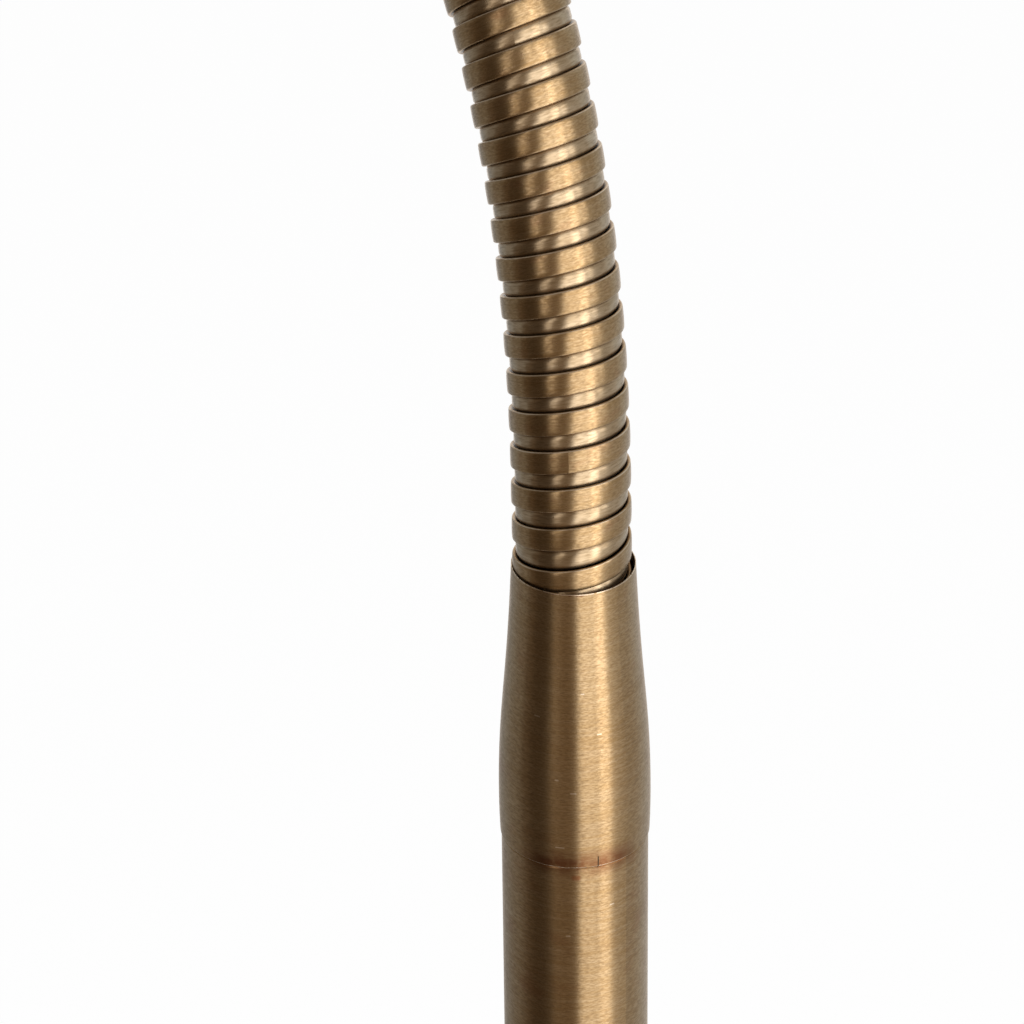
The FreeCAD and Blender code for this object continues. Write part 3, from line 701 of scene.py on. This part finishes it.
def bronze_band():
    """Satin band of the neck, brushed along its length, with painted highlights along its edges and
    painted shade on its flanks.
    """
    finish = Finish("bronze_band", metallic=1.0, anisotropic=0.70, anisotropic_rotation=0.25)
    wound = Wound(finish, band_section())
    fleck = wound.streaks(finish, 0.0006, 0.00027)
    line = wound.streaks(finish, 0.006, 0.0005, 3.0)
    patch = wound.streaks(finish, 0.0035, 0.0030)
    colour = finish.layers(
        finish.mix(finish.remap(patch, *cloud_span), bronze_deep, bronze),
        (line, line_span, (0.0, 0.35), bronze_pale),
        (patch, patch_span, (0.0, 0.40), bronze_red),
        (fleck, dark_span, (0.60, 0.0), bronze_dark),
        (fleck, pale_span, (0.0, 0.35), bronze_pale),
    )
    # painted highlights: pale lines along the band's edges, strongest along its upper edge
    edge_highlight_strength = finish.remap(line, *edge_highlight_span, *edge_highlight_shares)
    upper_edge_highlight = finish.product(finish.window(wound.around, *band_upper_highlight), edge_highlight_strength)
    weak_edge_highlight = finish.product(finish.window(wound.off_crown, *band_weak_highlight), weak_edge_highlight_share)
    colour = finish.mix(finish.math("MAXIMUM", upper_edge_highlight, weak_edge_highlight), colour, bronze_worn_and_highlight)
    # painted shade: the band's flanks darken down in the grooves between windings
    colour = finish.layers(colour, (wound.off_crown, band_flank_shade_span, (0.0, 0.92), tarnish_and_groove_shade))
    finish.link(
        base_color=colour, roughness=finish.remap(fleck, *grain_span, 0.38, 0.27),
        tangent=wound.tangent, normal=finish.bump(fleck, *brushing_bump),
    )
    return finish.material


def bronze_wire():
    """Drawn wire of the neck: greyer and smoother than the band, with painted shade down in its grooves.
    """
    finish = Finish("bronze_wire", metallic=1.0, anisotropic=0.85, anisotropic_rotation=0.25)
    wound = Wound(finish, wire_section())
    fleck = wound.streaks(finish, 0.0012, 0.00030)
    line = wound.streaks(finish, 0.010, 0.00035, 3.0)
    patch = wound.streaks(finish, 0.005, 0.0030)
    colour = finish.layers(
        finish.mix(finish.remap(patch, *cloud_span), wire_deep, wire_bright),
        (line, wire_line_span, (0.0, 0.40), bronze_pale),
        (fleck, dark_span, (0.55, 0.0), bronze_dark),
        # painted shade: the wire darkens down in the grooves
        (wound.off_crown, wire_flank_shade_span, (0.0, 0.90), tarnish_and_groove_shade),
    )
    finish.link(
        base_color=colour, roughness=finish.remap(fleck, *grain_span, 0.36, 0.27),
        tangent=wound.tangent, normal=finish.bump(line, *wire_bump),
    )
    return finish.material


def grained(name, tone, other, roughness, grain, strength, metallic):
    """Plain moulded, cast or plated surface with a fine grain and a slow change of tone."""
    finish = Finish(name, metallic=metallic)
    place = finish.object_place()
    fine = finish.noise(place, 1 / grain, 4.0, 0.6)
    slow = finish.noise(place, slow_scale, 3.0, 0.5)
    tone, other = (*tone, 1.0), (*other, 1.0)
    colour = finish.mix(finish.remap(slow, *cloud_span), tone, other)
    finish.link(
        base_color=finish.mix(finish.remap(fine, *grain_span, 0.0, 0.4), colour, other),
        roughness=finish.remap(fine, *grain_span, roughness - 0.05, roughness + 0.07),
        normal=finish.bump(fine, strength, grain / 6),
    )
    return finish.material


def frosted_lens():
    """Pale frosted plastic that lets part of the light through."""
    finish = Finish("frosted_lens", transmission_weight=0.55)
    place = finish.object_place()
    fine = finish.noise(place, lens_grain_scale, 3.0, 0.6)
    tone = finish.mix(finish.noise(place, lens_cloud_scale), lens_shade, lens_white)
    finish.link(
        base_color=tone, roughness=finish.remap(fine, *grain_span, 0.42, 0.58),
        normal=finish.bump(fine, *lens_bump),
    )
    return finish.material


def paint(material, pieces):
    for piece in pieces:
        piece.data.materials.clear()
        piece.data.materials.append(material)


def paint_nodes(material, *names):
    paint(material, [frame["nodes"][name] for name in names])


def dress():
    paint_nodes(
        brushed_bronze("bronze_stand", upright, marked=True),
        "base_cover", "pole_foot", "pole_lower", "pole_middle", "pole_upper", "neck_collar",
    )
    paint_nodes(brushed_bronze("bronze_head", head_frame), "head_ferrule", "head_housing", "bezel_ring")
    paint_nodes(brushed_bronze("bronze_knob", knob_frame), "dimmer_knob")
    for *values, names in plain_finishes:
        paint_nodes(grained(*values), *names)
    paint_nodes(frosted_lens(), "lens")


# ---------------------------------------------------------------- studio
studio_radius = 1.3         # from the pole's axis to the softboxes and cards
studio_height = 2.6
card_foot_radius = 0.45     # the cards lean outwards from here, so that no pale floor shows under them
# Softboxes and cards stand round the lamp. Their places are degrees to the right of the camera, seen
# from the lamp, and their levels are shares of white. Softboxes also have a distance and heights.
softboxes = [
    (8.0, 33.0, 1.30, 0.0, 2.6, 1.26), (36.0, 55.0, 1.30, 0.0, 2.6, 2.30),
    (-37.0, -24.0, 0.75, 1.05, 1.90, 1.30), (60.0, 74.0, 0.75, 1.10, 1.90, 1.40),
]
cool_grey = (0.92, 1.0, 1.08)
plain_grey = (1.0, 1.0, 1.0)
warm_grey = (1.0, 0.77, 0.56)
cards = [
    (-155.0, -118.0, 0.42, cool_grey), (-118.0, -88.0, 0.30, plain_grey), (-88.0, -72.0, 0.15, warm_grey),
    (-72.0, -36.0, 0.085, warm_grey), (-36.0, 4.0, 0.24, warm_grey), (57.0, 68.0, 0.85, plain_grey),
    (68.0, 80.0, 0.66, plain_grey), (80.0, 112.0, 0.56, plain_grey), (112.0, 150.0, 0.68, cool_grey),
]
all_but_glossy = ("camera", "diffuse", "transmission", "shadow", "volume_scatter")
ceiling_level = 0.4
ceiling_radius = studio_radius * 1.2
ceiling_turns = range(-150, 151, 30)
world_level = 0.75
floor_size = 40.0
floor_colour = (0.88, 0.88, 0.88, 1.0)
floor_glow = 1.06
floor_glow_share = 0.8      # of what the camera sees; the rest is lit, and keeps the shadow


def studio_place(turn):
    """Horizontal direction at this many degrees to the right of the camera."""
    return horizontal(camera_azimuth + turn)


def hide_from(thing, *rays):
    for ray in rays:
        setattr(thing, "visible_" + ray, False)


def build_softbox(name, start, end, distance, low, high, level):
    """Upright area light that faces the lamp, hidden from the camera."""
    data = bpy.data.lights.new(name, "AREA")
    data.shape = "RECTANGLE"
    data.size = 2 * distance * math.tan(math.radians(end - start) / 2)
    data.size_y = high - low
    data.energy = level * math.pi * data.size * data.size_y
    lamp = bpy.data.objects.new(name, data)
    towards = studio_place((start + end) / 2)
    lamp.location = towards * distance + Vector((0, 0, (low + high) / 2))
    lamp.rotation_mode = "QUATERNION"
    lamp.rotation_quaternion = towards.to_track_quat("Z", "Y")
    hide_from(lamp, "camera")
    bpy.context.scene.collection.objects.link(lamp)


def stage_material(name):
    """Material with an empty node tree."""
    material = bpy.data.materials.new(name)
    material.use_nodes = True
    material.node_tree.nodes.clear()
    return material


def card_material(name, level, tint=plain_grey):
    """Plain grey card that gives off its level evenly."""
    material = stage_material(name)
    tree = material.node_tree
    glow = add_node(tree, "ShaderNodeEmission", {"Color": (*tint, 1.0), "Strength": level})
    add_node(tree, "ShaderNodeOutputMaterial", {"Surface": glow.outputs[0]})
    return material


def stage_mesh(name, corners, material):
    mesh = bpy.data.meshes.new(name)
    mesh.from_pydata([tuple(c) for c in corners], [], [tuple(range(len(corners)))])
    mesh.materials.append(material)
    thing = bpy.data.objects.new(name, mesh)
    bpy.context.scene.collection.objects.link(thing)
    return thing


def build_card(name, start, end, level, tint):
    """Grey card that leans outwards and shows only in reflections."""
    top = Vector((0, 0, studio_height))
    left, right = studio_place(start), studio_place(end)
    corners = [
        left * card_foot_radius, right * card_foot_radius,
        right * studio_radius + top, left * studio_radius + top,
    ]
    card = stage_mesh(name, corners, card_material(name, level, tint))
    hide_from(card, *all_but_glossy)


def build_ceiling():
    top = Vector((0, 0, studio_height))
    corners = [studio_place(turn) * ceiling_radius + top for turn in ceiling_turns]
    card = stage_mesh("ceiling_card", corners, card_material("ceiling_card", ceiling_level))
    hide_from(card, *all_but_glossy)


def seen_directly(tree):
    """1 for camera, glossy and transmission rays, 0 for the others."""
    path = add_node(tree, "ShaderNodeLightPath", {})
    total = path.outputs["Is Camera Ray"]
    for name in ("Is Glossy Ray", "Is Transmission Ray"):
        inputs = {0: total, 1: path.outputs[name]}
        total = add_node(tree, "ShaderNodeMath", inputs, operation="MAXIMUM").outputs[0]
    return total


def build_floor():
    """Pale floor that looks white and keeps the lamp's shadow."""
    material = stage_material("floor")
    tree = material.node_tree
    share = add_node(
        tree, "ShaderNodeMath", {0: seen_directly(tree), 1: floor_glow_share}, operation="MULTIPLY"
    )
    matt = add_node(tree, "ShaderNodeBsdfDiffuse", {"Color": floor_colour})
    glow = add_node(tree, "ShaderNodeEmission", {"Strength": floor_glow})
    inputs = {0: share.outputs[0], 1: matt.outputs[0], 2: glow.outputs[0]}
    mixed = add_node(tree, "ShaderNodeMixShader", inputs)
    add_node(tree, "ShaderNodeOutputMaterial", {"Surface": mixed.outputs[0]})
    half = floor_size / 2
    corners = [(-half, -half, 0), (half, -half, 0), (half, half, 0), (-half, half, 0)]
    stage_mesh("floor", corners, material)


def build_world():
    """Even light from all round, white wherever it is seen directly or in a reflection."""
    world = bpy.data.worlds.new("studio")
    world.use_nodes = True
    tree = world.node_tree
    background = tree.nodes["Background"]
    background.inputs["Color"].default_value = (1.0, 1.0, 1.0, 1.0)
    inputs = {"Value": seen_directly(tree), "To Min": world_level, "To Max": 1.0}
    level = add_node(tree, "ShaderNodeMapRange", inputs)
    tree.links.new(level.outputs[0], background.inputs["Strength"])
    bpy.context.scene.world = world


def build_camera():
    """Camera at the photograph's place and angle."""
    pitch, yaw, roll = [math.radians(a) for a in (camera_pitch, camera_yaw, camera_roll)]
    level = Vector((math.sin(yaw), math.cos(yaw), 0))
    forward = level * math.cos(pitch) - Vector((0, 0, math.sin(pitch)))
    right = Vector((math.cos(yaw), -math.sin(yaw), 0))
    up = right.cross(forward)
    rolled_right = right * math.cos(roll) + up * math.sin(roll)
    rolled_up = up * math.cos(roll) - right * math.sin(roll)
    facing = Matrix.Rotation(math.radians(camera_azimuth + 90), 3, "Z")
    axes = facing @ Matrix((rolled_right, rolled_up, -forward)).transposed()
    data = bpy.data.cameras.new("camera")
    data.sensor_width = camera_sensor
    data.lens = camera_lens
    data.clip_start = camera_nearest
    camera = bpy.data.objects.new("camera", data)
    height = Vector((0, 0, seam_height + camera_above_seam))
    place = horizontal(camera_azimuth) * camera_reach + height
    camera.matrix_world = Matrix.Translation(place) @ axes.to_4x4()
    bpy.context.scene.collection.objects.link(camera)
    bpy.context.scene.camera = camera


def build_studio():
    bpy.context.scene.view_settings.view_transform = "Standard"
    build_camera()
    build_world()
    build_floor()
    build_ceiling()
    for i, softbox in enumerate(softboxes):
        build_softbox("softbox_%d" % i, *softbox)
    for i, card in enumerate(cards):
        build_card("card_%d" % i, *card)


wires, bands, leads = build_neck()
leads += build_lead_ends()
paint(bronze_wire(), wires)
paint(bronze_band(), bands)
paint(grained(*lead_finish), leads)
dress()
build_studio()
